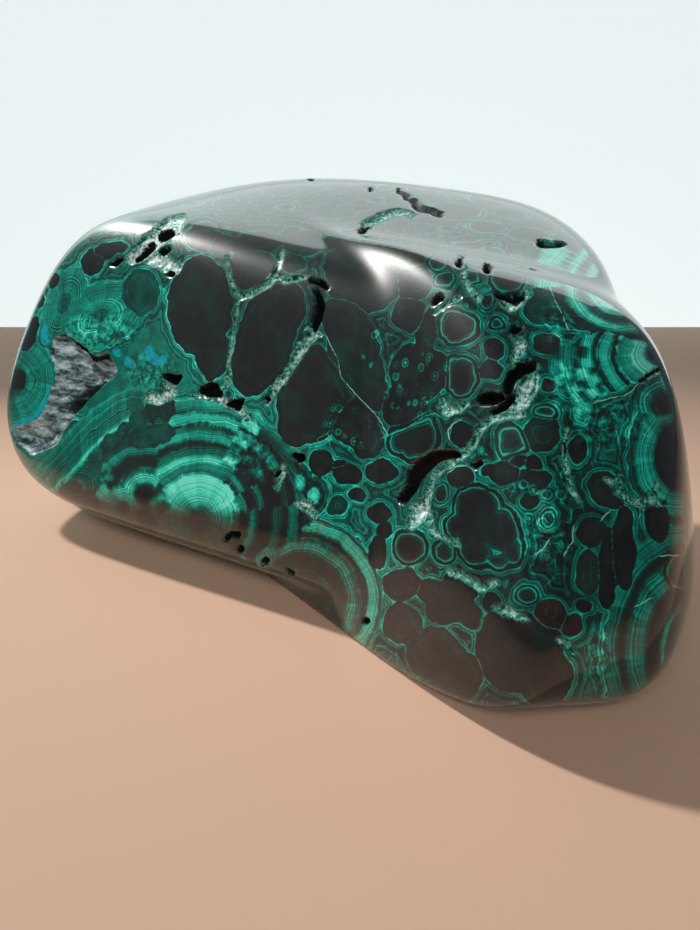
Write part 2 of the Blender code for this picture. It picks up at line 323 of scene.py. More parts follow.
# Banded fans: x, y of the core, stretch along x and y, lean, reach and the lightness
# at each distance from the core.
FANS = [
    ("great fan", 198, 518, 1.0, 1.0, 0, 118, 0.0, [
        (0, .5), (4, .6), (6, .42), (8, .62), (11, .5), (13, .8), (20, .86), (29, .93),
        (38, 1.0), (44, .97),
        (46, .42), (51, .5), (55, .6), (58, .95), (62, .8), (64, .45), (71, .36), (73, .12),
        (77, .14), (79, .64), (85, .7), (88, .48), (91, .4), (92, .14), (94, .2), (95, .78),
        (104, .82), (106, .16), (108, .5), (116, .66), (120, .8)]),
    ("second fan", 144, 494, 1.0, 1.0, 0, 84, 0.0, [
        (0, .03), (8, .05), (10, .2), (13, .82), (21, .8), (23, .3), (25, .3), (26, .62),
        (28, .2), (31, .12), (39, .16), (41, .5), (47, .56), (50, .3), (58, .2), (70, .24),
        (84, .3)]),
    ("third fan", 123, 508, 1.0, 1.0, 0, 82, 0.0, [
        (0, .04), (5, .1), (7, .75), (12, .85), (21, .78), (24, .2), (28, .16), (31, .46),
        (40, .5), (43, .16), (45, .18), (48, .5), (56, .6), (66, .45), (82, .2)]),
    ("small fan", 163, 508, 1.0, 1.0, 0, 92, 0.0, [
        (0, .1), (3, .6), (6, .45), (8, .8), (13, .7), (16, .2), (30, .2)]),
    ("left curl", 74, 487, 1.2, 1.0, 0, 66, 0.2, [
        (0, .25), (6, .2), (9, .5), (11, .3), (20, .4), (30, .3), (40, .45), (66, .35)]),
    ("brown fan", 262, 556, 0.85, 1.05, -20, 54, 0.55, [
        (0, .5), (8, .55), (12, .35), (15, .5), (18, .3), (22, .46), (25, .28), (31, .16),
        (36, .15), (38, .4), (39, .15), (42, .2), (44, .6), (48, .5), (50, .34), (54, .45)]),
    ("brown fan by the base", 300, 600, 0.98, 1.0, 0, 84, 0.6, [
        (0, .2), (26, .22), (30, .26), (31, .4), (33, .2), (40, .18), (47, .24), (49, .5),
        (56, .58), (59, .2), (62, .5), (64, .16), (68, .2), (70, .72), (79, .7), (81, .2),
        (84, .5)]),
    ("twin bud left", 299, 483, 0.75, 1.1, 0, 20, 0.0, [
        (0, .85), (7, .75), (9, .12), (13, .1), (15, .5), (17, .2), (20, .5)]),
    ("twin bud right", 314, 496, 0.8, 1.05, 0, 19, 0.0, [
        (0, .9), (7, .85), (9, .12), (13, .1), (15, .5), (17, .2), (20, .5)]),
    ("brow fan", 628, 283, 1.0, 0.78, 0, 96, 0.0, [
        (0, .7), (12, .9), (24, .85), (30, .95), (40, .9), (43, .7), (45, .28), (51, .26),
        (53, .6), (55, .95), (60, .8), (63, .6), (66, .1), (69, .24), (80, .3), (96, .2)]),
    ("nose fan", 660, 353, 1.0, 0.85, 0, 108, 0.0, [
        (0, .02), (11, .04), (13, .45), (14, .25), (16, .9), (21, .97), (25, .88), (30, 1.0),
        (31, .6), (35, .68), (39, .5), (42, .6), (44, .95), (45, .1), (48, .06), (50, .6),
        (56, .74), (62, .62), (63, .12), (66, .08), (68, .6), (73, .84), (79, .7), (82, .22),
        (87, .2), (90, .58), (98, .62), (108, .4)]),
    ("nose knob", 582, 409, 1.0, 1.0, 0, 10, 0.0, [
        (0, .7), (6, .82), (8, .5), (10, .6)]),
    ("nose ring", 669, 405, 1.0, 0.9, 0, 33, 0.0, [
        (0, .03), (12, .04), (14, .32), (16, .12), (20, .4), (25, .62), (29, .55), (33, .25)]),
    ("nose great ring", 683, 456, 0.8, 1.0, 0, 70, 0.0, [
        (0, .03), (24, .04), (27, .22), (29, .07), (35, .1), (38, .5), (48, .64), (60, .55),
        (63, .12), (66, .3), (70, .24)]),
    ("corner bands", 700, 652, 1.0, 1.35, 0, 98, 0.0, [
        (0, .1), (20, .14), (34, .16), (37, .55), (39, .7), (41, .2), (49, .06), (53, .08),
        (57, .42), (66, .5), (72, .44), (76, .1), (80, .12), (84, .4), (98, .5)]),
    ("arc at the foot", 438, 702, 1.1, 1.0, 0, 30, 0.3, [
        (0, .22), (12, .24), (21, .2), (23, .4), (25, .2), (28, .42), (30, .45)]),
    ("upper left curl", 64, 304, 0.8, 1.6, 20, 24, 0.0, [
        (0, .3), (5, .38), (10, .55), (16, .46), (20, .56), (26, .5)]),
    ("pale curl", 100, 316, 1.3, 0.8, -28, 38, 0.0, [
        (0, .36), (7, .4), (12, .6), (20, .66), (23, .5), (27, .58), (30, .46), (35, .54),
        (40, .45)]),
    ("end lobe", 9, 381, 1.0, 1.0, 0, 48, 0.0, [
        (0, .2), (15, .3), (19, .5), (23, .58), (25, .4), (28, .55), (30, .42), (34, .58),
        (37, .5), (40, .6), (48, .5)]),
]
# Faulted wedges of a fan: from and to which bearing, beyond what distance, how far the
# bands slip outward and how much their lightness changes.
FAN_SLIPS = {
    "great fan": [(-66, -54, 50, 6, .08), (-54, -30, 44, -7, -.34), (-30, -8, 40, 5, -.42),
                  (-8, 40, 36, -4, -.38)],
    "second fan": [(-62, -50, 22, 5, -.1)],
    "third fan": [(-160, -128, 20, 8, .12), (-128, -112, 30, -5, .1)],
    "nose fan": [(158, 166, 67, 6, .1), (176, 186, 67, -5, -.12), (140, 150, 67, 7, .12)],
    "nose ring": [(252, 304, 13, 0, .34)],
    "brow fan": [(176, 216, 67, 0, .44)],
}
# Where a fan is cut short: lines from (x, y) to (x, y) with the fan on their left-hand side.
FAN_CUTS = {
    "nose fan": [((604, 328), (546, 353)), ((656, 343), (604, 327)), ((590, 405), (661, 369))],
    "brow fan": [((578, 331), (652, 343))],
}
# Below this line the foot of the left fans is turned brown by a painted reflection of the table and
# darkened by painted shade:
# its height at the left and fall to the right, how softly it sets in, between which x it ends and
# how much painted shade darkens it.
TABLE_REFLECTION_LINE = (466, 0.16)
TABLE_REFLECTION_SOFTNESS = 26.0
TABLE_REFLECTION_END = (255.0, 235.0)
TABLE_REFLECTION_SHADE = 0.7
# Wavy layers under the hollow: their outer edge, from where to where they run, how thick
# they are, how far they overrule the fans, how long their fibres are and their lightness.
LAYERS_EDGE = [(22, 480), (34, 469), (50, 452), (72, 427), (92, 409), (112, 395), (130, 387),
               (146, 389), (155, 404)]
LAYERS_SPAN = (20, 166)
LAYERS_THICK = 33
LAYERS_FIRMNESS = 3.0
LAYERS_FIBRE = 40.0
LAYERS_LIGHTNESS = [(0, .5), (3, .6), (6, .42), (9, .57), (12, .36), (15, .52), (18, .34),
                    (21, .5), (24, .36), (27, .58), (29, .86), (31, .8), (33, .22)]

# Narrow things as runs of (x, y, half width).
CRUSTS = [
    [(132, 258, 6), (146, 246, 9), (160, 236, 9), (172, 226, 9), (182, 218, 5)],
    [(150, 256, 8), (164, 262, 9), (174, 268, 6), (180, 262, 4)],
    [(313, 333, 6), (302, 345, 6), (293, 363, 4), (283, 379, 5), (273, 391, 4), (266, 402, 4)],
    [(305, 327, 2), (320, 334, 3)],
    [(196, 396, 3), (214, 394, 4), (226, 404, 4), (238, 408, 4), (248, 418, 3)],
    [(227, 258, 2), (231, 280, 1.5), (238, 298, 3), (250, 294, 3), (266, 286, 2.5),
     (274, 277, 3), (285, 281, 3), (304, 277, 2.5)],
    [(274, 277, 2), (279, 262, 2.5), (283, 252, 1.5)],
    [(238, 298, 2), (236, 316, 1.5), (231, 344, 1.5), (228, 370, 1.5), (227, 384, 3)],
    [(462, 262, 3), (464, 276, 3), (470, 292, 4), (478, 298, 4)],
    [(436, 313, 2.5), (445, 304, 3.5), (458, 298, 2.5)],
    [(503, 304, 3), (512, 306, 6), (522, 300, 4), (527, 292, 2)],
    [(516, 338, 4), (521, 346, 6), (516, 358, 5), (509, 367, 3)],
    [(534, 377, 6), (527, 388, 10), (522, 400, 9), (512, 410, 5)],
    [(524, 414, 4), (508, 416, 4), (492, 420, 4), (480, 428, 4), (470, 446, 4),
     (462, 456, 3), (446, 467, 4), (432, 477, 4)],
    [(438, 472, 3), (430, 484, 4), (428, 496, 4), (420, 511, 10), (411, 524, 6)],
    [(428, 520, 5), (432, 532, 3), (460, 545, 2)],
    [(442, 400, 2), (448, 410, 6), (458, 408, 5), (466, 404, 3)],
    [(565, 428, 2), (564, 448, 2.5), (566, 470, 3), (573, 492, 3.5), (578, 502, 2)],
    [(606, 478, 2), (614, 484, 4), (621, 478, 3), (618, 492, 4), (628, 500, 4),
     (640, 503, 5), (650, 500, 3), (658, 484, 2)],
    [(640, 506, 3), (652, 502, 4), (664, 502, 3)],
    [(448, 572, 3), (462, 575, 4), (472, 582, 4), (480, 588, 4), (496, 583, 3)],
    [(495, 606, 2), (506, 611, 4), (520, 616, 3), (528, 620, 2)],
    [(558, 640, 3), (568, 646, 4), (574, 652, 3)],
    [(300, 503, 5), (308, 508, 6), (314, 516, 4)],
    [(276, 488, 2), (281, 476, 3), (284, 466, 2)],
    [(148, 398, 5), (160, 398, 7), (172, 392, 5), (164, 386, 4)],
    [(364, 224, 3), (384, 216, 4), (398, 212, 3), (412, 215, 3)],
]
HOLES = [
    [(312, 281, 2.5), (322, 284, 4), (326, 287, 2.5)],
    [(316, 291, 3), (321, 304, 4.5), (317, 318, 4.5), (314, 328, 3.5)],
    [(160, 236, 5), (168, 231, 6)], [(163, 251, 5), (168, 249, 3)], [(170, 273, 4)],
    [(138, 258, 4), (148, 247, 4), (152, 244, 3)], [(112, 264, 3), (120, 260, 3)],
    [(166, 376, 4), (173, 379, 6), (179, 377, 3)],
    [(203, 390, 5), (211, 390, 8), (219, 394, 4)], [(229, 405, 4), (236, 405, 6), (242, 400, 3)],
    [(266, 399, 3.5)], [(299, 458, 5), (293, 456, 3)], [(276, 475, 2.5), (280, 470, 2)],
    [(459, 263, 4), (461, 256, 2)], [(487, 268, 5)], [(440, 297, 3), (433, 303, 2)],
    [(500, 296, 4), (512, 299, 4), (522, 296, 4)], [(514, 330, 4), (520, 327, 3)],
    [(532, 366, 6), (522, 368, 8), (512, 378, 6), (508, 389, 5)],
    [(483, 399, 6), (492, 398, 7), (500, 397, 5)], [(512, 396, 5), (504, 407, 5), (494, 412, 4)],
    [(456, 455, 4), (441, 455, 6), (425, 463, 8), (414, 475, 8), (411, 488, 6), (402, 500, 6)],
    [(226, 538, 3), (231, 534, 2.5), (238, 535, 3)], [(241, 548, 4)], [(265, 562, 4)],
    [(288, 571, 2.5), (292, 574, 3)], [(366, 621, 4)],
    [(540, 244, 3), (552, 245, 3), (562, 244, 2)], [(370, 190, 2)], [(311, 179, 3)],
    [(360, 232, 2.5), (368, 226, 3)], [(398, 190, 2), (420, 208, 2.5), (440, 215, 2.5)],
    [(565, 440, 1.5), (566, 452, 1.8)], [(640, 381, 2), (650, 374, 2.5), (660, 369, 2)],
    [(480, 462, 3), (474, 466, 3)], [(496, 412, 4)],
]
BLUES = [
    [(51, 387, 2.2), (47, 398, 2.6), (41, 410, 3), (31, 419, 3), (18, 425, 3), (9, 428, 2.5)],
    [(116, 353, 4.5)], [(128, 362, 6), (134, 364, 4)], [(149, 351, 5), (153, 360, 5), (162, 360, 5)],
    [(522, 356, 5), (516, 361, 2.5)], [(44, 330, 4), (46, 342, 4)], [(166, 396, 3)],
]
# Bright growth lines and cracks: whiteness, then a run of (x, y, half width).
VEINS = [
    (0.0, [(382, 438, 1.2), (396, 433, 1.3), (410, 426, 1.4), (424, 417, 1.3), (435, 413, 1.2),
           (446, 419, 1.0)]),
    (0.6, [(327, 338, .8), (336, 355, 1.2), (341, 378, .8), (359, 398, 1.0), (379, 419, .8),
           (388, 435, .9)]),
    (0.0, [(230, 484, .6), (222, 505, .5)]),
    (0.9, [(448, 441, 1.8), (447, 431, 2.0), (452, 424, 2.0), (460, 420, 1.6)]),
    (0.9, [(449, 473, 1.6), (455, 467, 1.8), (464, 466, 1.6)]),
    (0.8, [(538, 554, 1.0), (545, 545, 1.0), (551, 537, .8)]),
    (0.8, [(564, 554, .9), (573, 542, 1.1), (574, 528, .9)]),
    (0.8, [(602, 518, .9), (610, 509, 1.0)]),
    (0.6, [(549, 287, .7), (556, 302, .9), (563, 318, .9), (570, 332, .8)]),
    (0.7, [(664, 369, 1.0), (652, 374, 1.4), (643, 378, 1.2), (634, 388, 1.2), (625, 395, 1.0),
           (610, 399, .8), (596, 403, .8)]),
    (0.9, [(665, 506, 1.6), (656, 505, 1.6), (646, 507, 1.6), (640, 516, 1.2)]),
    (0.9, [(660, 556, 1.2), (668, 555, 1.5), (676, 556, 1.2)]),
    (0.8, [(636, 606, 1.0), (646, 601, 1.6), (651, 598, 1.0)]),
    (0.1, [(320, 446, .8), (318, 438, 1.4), (328, 432, 1.6), (331, 446, 1.2)]),
]
# The rough hollow at the left end: its outline, its deep end (sunk further and painted dark as
# shade) and the cleft above it.
HOLLOW = [(55, 336), (64, 331), (73, 341), (94, 358), (108, 356), (119, 372), (103, 386),
          (84, 404), (66, 428), (58, 444), (44, 452), (31, 456), (15, 443), (11, 430),
          (38, 418), (46, 402), (53, 385), (55, 370), (50, 352)]
HOLLOW_DEEP_END = [(66, 405, 8), (80, 396, 11), (92, 388, 7)]
HOLLOW_CLEFT = [(62, 334, 1.5), (76, 344, 2), (92, 358, 3), (106, 356, 2.5)]
# How light the green between the nodules is: x, y, reach and lightness.
GROUNDS = [(120, 250, 60, .42), (60, 300, 50, .48), (130, 330, 50, .48), (185, 380, 40, .55),
           (240, 440, 50, .52), (290, 460, 30, .45), (300, 250, 60, .12), (400, 250, 50, .12),
           (320, 320, 40, .3), (480, 280, 50, .24), (540, 300, 30, .34), (605, 420, 50, .33),
           (520, 360, 30, .3), (430, 400, 50, .22), (350, 540, 50, .44), (400, 480, 30, .36),
           (470, 470, 30, .3), (540, 540, 50, .25), (560, 480, 40, .3), (460, 640, 60, .24),
           (600, 560, 40, .27), (645, 560, 30, .4), (560, 600, 40, .24), (600, 640, 30, .42),
           (300, 200, 90, .3), (500, 220, 90, .3), (150, 520, 60, .5), (350, 640, 40, .3)]
# The lip over which the top begins, from left to right, and how softly.
TOP_LIP = [(90, 212), (187, 213), (286, 226), (330, 226), (424, 242), (491, 258), (558, 274),
           (620, 280)]
TOP_SOFTNESS = 8.0
# Patches of tiny ring-shaped cells and of bright mottling: x, y, half width, half height.
CELL_PATCHES = [(416, 385, 38, 52), (350, 425, 30, 30), (536, 500, 32, 30), (372, 350, 14, 30),
                (545, 470, 26, 18)]
MOTTLE_PATCHES = [(606, 426, 48, 26), (566, 388, 20, 34), (560, 322, 20, 26),
                  (600, 655, 14, 34), (150, 370, 30, 22), (240, 435, 18, 14),
                  (100, 330, 40, 20), (545, 545, 34, 26), (470, 452, 26, 12),
                  (250, 460, 26, 26)]


# --- Measuring: how far each point of the skin is from what grew there ---

# Farther than anything that is drawn, in millimetres and in pixels.
FAR = 60.0
FAR_PIXELS = 300.0
# What the outlines wander by, in pixels, and the length of the wandering, in millimetres;
# then the shifts of the coarse and the fine wandering, how fine and how strong they are.
WANDER = 1.8
WANDER_LENGTH = 4.0
COARSE_WANDER = ((7.0, 53.0), 1.0, 1.0)
FINE_WANDER = ((17.0, 83.0), 2.6, 0.5)
# How far the crusts spread past their runs, in pixels.
CRUST_SPREAD = 0.8


def smooth_step(low, high, value):
    share = np.clip((value - low) / (high - low), 0.0, 1.0)
    return share * share * (3.0 - 2.0 * share)


def oval_distance(x, y, oval):
    """About how far (x, y) is outside a leaning oval; negative inside."""
    middle_x, middle_y, half_x, half_y, *lean = oval
    turn = math.radians(sum(lean))
    u = (x - middle_x) * math.cos(turn) + (y - middle_y) * math.sin(turn)
    v = (y - middle_y) * math.cos(turn) - (x - middle_x) * math.sin(turn)
    near = np.hypot(u / half_x, v / half_y)
    steep = np.hypot(u / half_x ** 2, v / half_y ** 2)
    return near * (near - 1.0) / np.maximum(steep, 1e-6)


def run_distance(x, y, run):
    """How far (x, y) is from a run of (x, y, half width) points, less the half width,
    and the same sideways distance with a sign for the side."""
    best = np.full(len(x), 1e9)
    side = np.full(len(x), 1e9)
    ends = run[1:] if len(run) > 1 else run
    for (x0, y0, w0), (x1, y1, w1) in zip(run, ends):
        length = max(math.hypot(x1 - x0, y1 - y0), 1e-6)
        along = np.clip(((x - x0) * (x1 - x0) + (y - y0) * (y1 - y0)) / length ** 2, 0.0, 1.0)
        off_x, off_y = x - (x0 + along * (x1 - x0)), y - (y0 + along * (y1 - y0))
        distance = np.hypot(off_x, off_y)
        width = w0 + along * (w1 - w0)
        turn = np.sign(off_y * (x1 - x0) - off_x * (y1 - y0) + 1e-9)
        closer = distance - width < best
        side = np.where(closer, distance * turn, side)
        best = np.minimum(best, distance - width)
    return best, side


def runs_distance(x, y, runs):
    best = np.full(len(x), FAR_PIXELS)
    for run in runs:
        best = np.minimum(best, run_distance(x, y, run)[0])
    return best


def outline_distance(x, y, corners):
    """Signed distance to a closed outline, negative inside."""
    closed = [(cx, cy, 0.0) for cx, cy in corners + corners[:1]]
    distance = run_distance(x, y, closed)[0]
    inside = np.zeros(len(x), dtype=bool)
    for (x0, y0, _w0), (x1, y1, _w1) in zip(closed[:-1], closed[1:]):
        if y0 != y1:
            crossing = (y0 > y) != (y1 > y)
            inside ^= crossing & (x < (x1 - x0) * (y - y0) / (y1 - y0) + x0)
    return np.where(inside, -distance, distance)


def nodule_fields(x, y):
    """Distance to the nearest dark nodule, and its lightness, warmth and ring share."""
    first = np.full(len(x), FAR_PIXELS)
    second = first.copy()
    looks = np.zeros((len(x), 3))
    for light, warmth, ring, *blobs in NODULES:
        distance = np.min([oval_distance(x, y, blob) for blob in blobs], axis=0)
        nearest = distance < first
        second = np.where(nearest, first, np.minimum(second, distance))
        first = np.where(nearest, distance, first)
        looks[nearest] = light, warmth, ring
    return first, second, looks


def past_cuts(x, y, cuts):
    """How far (x, y) is past the nearest cut line; negative on the fan's side."""
    past = np.full(len(x), -FAR_PIXELS)
    for (x0, y0), (x1, y1) in cuts:
        across = (x - x0) * (y1 - y0) - (y - y0) * (x1 - x0)
        past = np.maximum(past, -across / math.hypot(x1 - x0, y1 - y0))
    return past


def banded(radius, turn, profile, slips):
    """A fan's lightness, with its faulted wedges slipped along the bands."""
    angle = np.degrees(turn) % 360.0
    slip = np.zeros(len(radius))
    change = np.zeros(len(radius))
    for low, high, beyond, shift, lighter in slips:
        inside = ((angle - low) % 360.0 < high - low) & (radius > beyond)
        slip = np.where(inside, shift, slip)
        change = np.where(inside, lighter, change)
    steps, lights = zip(*profile)
    return np.clip(np.interp(radius - slip, steps, lights) + change, 0.03, 1.0)


def fan_fields(x, y):
    """Distance to the nearest fan's outer edge, its lightness (with painted table reflection and
    shade at the foot), core distance and bearing.
    """
    first = np.full(len(x), FAR_PIXELS)
    rows = np.zeros((4, len(x)))
    for name, fan_x, fan_y, stretch_x, stretch_y, lean, reach, warmth, profile in FANS:
        turn = math.radians(lean)
        off_x, off_y = x - fan_x, y - fan_y
        u = (off_x * math.cos(turn) + off_y * math.sin(turn)) / stretch_x
        v = (off_y * math.cos(turn) - off_x * math.sin(turn)) / stretch_y
        radius = np.hypot(u, v)
        outside = np.maximum(radius - reach, past_cuts(x, y, FAN_CUTS.get(name, [])))
        bearing = np.arctan2(v, u)
        bands = banded(radius, bearing, profile, FAN_SLIPS.get(name, []))
        here = (bands, np.full(len(x), warmth), radius, bearing)
        rows = np.where(outside < first, here, rows)
        first = np.minimum(first, outside)
    light, warm, core, bearing = rows
    # Painted light: below the line the fans are darkened as painted shade and tinted brown as a
    # painted reflection of the table.
    reflection_top, reflection_fall = TABLE_REFLECTION_LINE
    foot = smooth_step(0.0, TABLE_REFLECTION_SOFTNESS, y - reflection_top - reflection_fall * x)
    foot = foot * smooth_step(TABLE_REFLECTION_END[0], TABLE_REFLECTION_END[1], x)
    light = light * (1.0 - TABLE_REFLECTION_SHADE * foot)
    warm = np.maximum(warm, foot)
    return layered(x, y, first, light, warm, core, bearing)


def layered(x, y, first, light, warm, core, bearing):
    """The same fields with the wavy layers under the hollow laid over them."""
    edge = [(edge_x, edge_y, 0.0) for edge_x, edge_y in LAYERS_EDGE]
    _near, side = run_distance(x, y, edge)
    left, right = LAYERS_SPAN
    laid = (side >= 0) & (side < LAYERS_THICK) & (x > left) & (x < right)
    steps, lights = zip(*LAYERS_LIGHTNESS)
    first = np.where(laid, np.minimum(first, -LAYERS_FIRMNESS), first)
    light = np.where(laid, np.interp(side, steps, lights), light)
    warm = np.where(laid, 0.0, warm)
    core = np.where(laid, side, core)
    bearing = np.where(laid, x / LAYERS_FIBRE, bearing)
    return first, light, warm, core, bearing


def vein_fields(x, y):
    """Distance to the nearest vein, the same with a sign for the side, and its whiteness."""
    near = np.full(len(x), FAR_PIXELS)
    side = near.copy()
    white = np.zeros(len(x))
    for whiteness, run in VEINS:
        distance, signed = run_distance(x, y, run)
        closer = distance < near
        near = np.where(closer, distance, near)
        side = np.where(closer, signed, side)
        white = np.where(closer, whiteness, white)
    return near, side, white


def ground_lightness(x, y):
    """The lightness between nodules, eased from one ground spot to the next."""
    total = np.full(len(x), 1e-4)
    light = total * BACK_GROUND
    for middle_x, middle_y, reach, lightness in GROUNDS:
        weight = np.exp(-((x - middle_x) ** 2 + (y - middle_y) ** 2) / reach ** 2)
        total += weight
        light += weight * lightness
    return light / total


def patches(x, y, ovals):
    best = np.zeros(len(x))
    for middle_x, middle_y, half_x, half_y in ovals:
        near = np.hypot((x - middle_x) / half_x, (y - middle_y) / half_y)
        best = np.maximum(best, smooth_step(1.15, 0.6, near))
    return best


# --- The sides that the show face doesn't reach ---

SEED = 11
BACK_GROUND = 0.36
# How many fans and nodules are tried for, their least and greatest size in millimetres and
# how much of their size they keep clear of each other.
BACK_FANS = (26, 12.0, 27.0, 0.72)
BACK_NODULES = (420, 2.2, 12.0, 0.86)
# Shares of a fan's size: the heart that nodules keep off, and how far its bands reach; how
# many bands it has, and the share of the nodules with a bright ring inside.
FAN_HEART = 0.75
FAN_REACH = 1.25
FAN_BANDS = 40
RINGED_SHARE = 0.4
# How much the outlines wander there, and how far nodules stay clear of the show face's fans.
BACK_WANDER = 0.35
FAN_MARGIN = 0.6
# How squarely the skin has to face the viewpoint before the show face sets in, before it
# is whole, and before a hole is cut.
SHOWN_FROM = 0.1
SHOWN_FULLY = 0.26
HOLES_FROM = 0.06


def scattered(count, low, high, gap, kept_off, rng):
    """Seeded spots on the skin with sizes in millimetres that keep clear of each other."""
    spots = []
    for _try in range(count * 12):
        way = unit(rng.normal(size=3)[None])
        spot = smooth_skin(way)[0]
        size = low + (high - low) * rng.random() ** 2.2
        if all(np.linalg.norm(spot - other) > (size + reach) * gap
               for other, reach in spots + kept_off):
            spots.append((spot, size))
        if len(spots) == count:
            break
    return spots


def solid_fields(points):
    """The same fields for the other sides, from seeded fans and nodules in the solid."""
    rng = np.random.default_rng(SEED)
    fans = scattered(*BACK_FANS, [], rng)
    hearts = [(spot, size * FAN_HEART) for spot, size in fans]
    nodules = scattered(*BACK_NODULES, hearts, rng)
    first = np.full(len(points), FAR)
    second = first.copy()
    looks = np.zeros((len(points), 3))
    for spot, size in nodules:
        distance = np.linalg.norm(points - spot, axis=1) - size
        ring = 0.4 + 0.5 * rng.random() if rng.random() < RINGED_SHARE else 0.0
        look = (0.04 + 0.1 * rng.random(), rng.random() ** 2, ring)
        nearest = distance < first
        second = np.where(nearest, first, np.minimum(second, distance))
        first = np.where(nearest, distance, first)
        looks[nearest] = look
    front = np.full(len(points), FAR)
    rows = np.zeros((3, len(points)))
    for spot, size in fans:
        reach = size * FAN_REACH
        offset = points - spot
        radius = np.linalg.norm(offset, axis=1)
        stops = np.cumsum(0.5 + 2.2 * rng.random(FAN_BANDS) ** 1.5)
        lights = np.clip(0.12 + 0.8 * rng.random(FAN_BANDS) ** 1.3, 0.0, 0.95)
        bearing = np.arctan2(offset[:, 2], offset[:, 0] + 0.6 * offset[:, 1])
        here = (np.interp(radius, stops, lights), radius, bearing)
        rows = np.where(radius - reach < front, here, rows)
        front = np.minimum(front, radius - reach)
    return first, second, looks, front, *rows


def wandering(points, shifts, fineness, strength):
    """How far the pattern wanders across and up at each point, in pixels."""
    return [noise_at(points + shift, fineness / WANDER_LENGTH) * WANDER * strength
            for shift in shifts]


def grown_fields(points, square):
    """Every field that the stone's finish needs, one value for each point, by name."""
    x, y, depth = picture_place(points)
    step = depth / FOCAL
    wander = wandering(points, *COARSE_WANDER)
    fine = wandering(points, *FINE_WANDER)
    x = x + wander[0] + fine[0]
    y = y + wander[1] + fine[1]
    shown = smooth_step(SHOWN_FROM, SHOWN_FULLY, square)
    away = (1 - shown) * FAR
    first, second, looks = nodule_fields(x, y)
    front, light, warm, core, bearing = fan_fields(x, y)
    show_nodule = first * step + away
    show_fan = front * step + away
    shaken = points + BACK_WANDER * np.array(wander + fine[:1]).T
    (back_first, back_second, back_looks,
     back_front, back_light, back_core, back_bearing) = solid_fields(shaken)
    lip_x, lip_y = zip(*TOP_LIP)
    on_top = smooth_step(0.0, TOP_SOFTNESS, np.interp(x, lip_x, lip_y) - y)
    clear_of_fans = np.maximum(back_first, FAN_MARGIN - show_fan)
    back_nodule = clear_of_fans + shown * (1.0 - on_top) * FAR
    back_fan = back_front + shown * FAR
    unseen = back_nodule < show_nodule
    behind = back_fan < show_fan
    looks = np.where(unseen[:, None], back_looks, looks)
    near, side, white = vein_fields(x, y)
    return {
        "nodule": np.minimum(show_nodule, back_nodule),
        "seam": np.where(unseen, back_second - back_first, (second - first) * step) / 2,
        "nodule_light": looks[:, 0],
        "nodule_warm": looks[:, 1],
        "nodule_ring": np.where(looks[:, 2] > 0, looks[:, 2], FAR),
        "fan": np.minimum(show_fan, back_fan),
        "fan_light": np.where(behind, back_light, light),
        "fan_warm_and_table_reflection": np.where(behind, 0.0, warm),
        "fan_core": np.where(behind, back_core, core * step),
        "fan_bearing": np.where(behind, back_bearing, bearing),
        "ground": BACK_GROUND + (ground_lightness(x, y) - BACK_GROUND) * shown,
        "cells": patches(x, y, CELL_PATCHES) * shown,
        "mottle": patches(x, y, MOTTLE_PATCHES) * shown,
        "crust": (runs_distance(x, y, CRUSTS) - CRUST_SPREAD) * step + away,
        "hole": runs_distance(x, y, HOLES) * step + (square < HOLES_FROM) * FAR,
        "blue": runs_distance(x, y, BLUES) * step + away,
        "hollow": outline_distance(x, y, HOLLOW) * step + away,
        "hollow_deep_shaded": runs_distance(x, y, [HOLLOW_DEEP_END]) * step + away,
        "cleft": runs_distance(x, y, [HOLLOW_CLEFT]) * step + away,
        "vein": near * step + away,
        "vein_side": side * step,
        "vein_white": white,
    }


def line_nearness(fields):
    """How near each point is to a line or a rough patch, in millimetres."""
    lines = [np.abs(fields[name]) for name in ("nodule", "fan", "vein")]
    rough = [np.maximum(fields[name], 0.0) for name in ("crust", "hole", "hollow", "blue")]
    seam = np.where(fields["nodule"] < 0, fields["seam"], FAR)
    return np.minimum.reduce(lines + rough + [seam])


# --- Relief: how deep the hollow, the holes and the crust lie under the polish ---

# In millimetres: how deep the holes, the crust, the bowl of the hollow, its dark end and
# the cleft go, and how far in from its edge the bowl still falls steeply.
HOLE_DEPTH = 2.6
CRUST_DEPTH = 0.9
HOLLOW_DEPTH = 7.5
DEEP_END_DEPTH = 4.0
CLEFT_DEPTH = 2.0
BOWL_EDGE = 3.6
# How fine the coarse and the sharp roughness are, each with a shift of its own, and how
# much of both there is in the crust and in the hollow.
ROUGHNESSES = ((31.0, 0.55), (77.0, 1.4))
IN_CRUST = (0.55, 0.4)
IN_HOLLOW = (0.9, 0.5)
# The height over which the relief fades toward the base.
BASE_FADE = 3.0


def relief(points, fields):
    """How far each point sinks under the polished skin, in millimetres."""
    rough, sharp = [noise_at(points + shift, scale) for shift, scale in ROUGHNESSES]
    hole = smooth_step(0.25, -1.1, fields["hole"]) * HOLE_DEPTH * (1.0 + 0.3 * rough)
    crust = smooth_step(0.1, -1.3, fields["crust"] + 0.35 * rough)
    crust = crust * (CRUST_DEPTH + IN_CRUST[0] * rough + IN_CRUST[1] * sharp)
    inside = np.maximum(-fields["hollow"], 0.0)
    bowl = HOLLOW_DEPTH * (1.0 - np.exp(-inside / BOWL_EDGE))
    deeper = smooth_step(1.0, -2.5, fields["hollow_deep_shaded"]) * DEEP_END_DEPTH
    ridges = IN_HOLLOW[0] * rough + IN_HOLLOW[1] * sharp
    ridges = smooth_step(0.0, 1.2, inside) * ridges
    hollow = np.where(inside > 0, bowl + deeper * smooth_step(0.0, 1.5, inside) - ridges, 0.0)
    cleft = smooth_step(0.3, -0.5, fields["cleft"]) * CLEFT_DEPTH
    return np.maximum.reduce([hole, crust, hollow, cleft, np.zeros(len(points))])


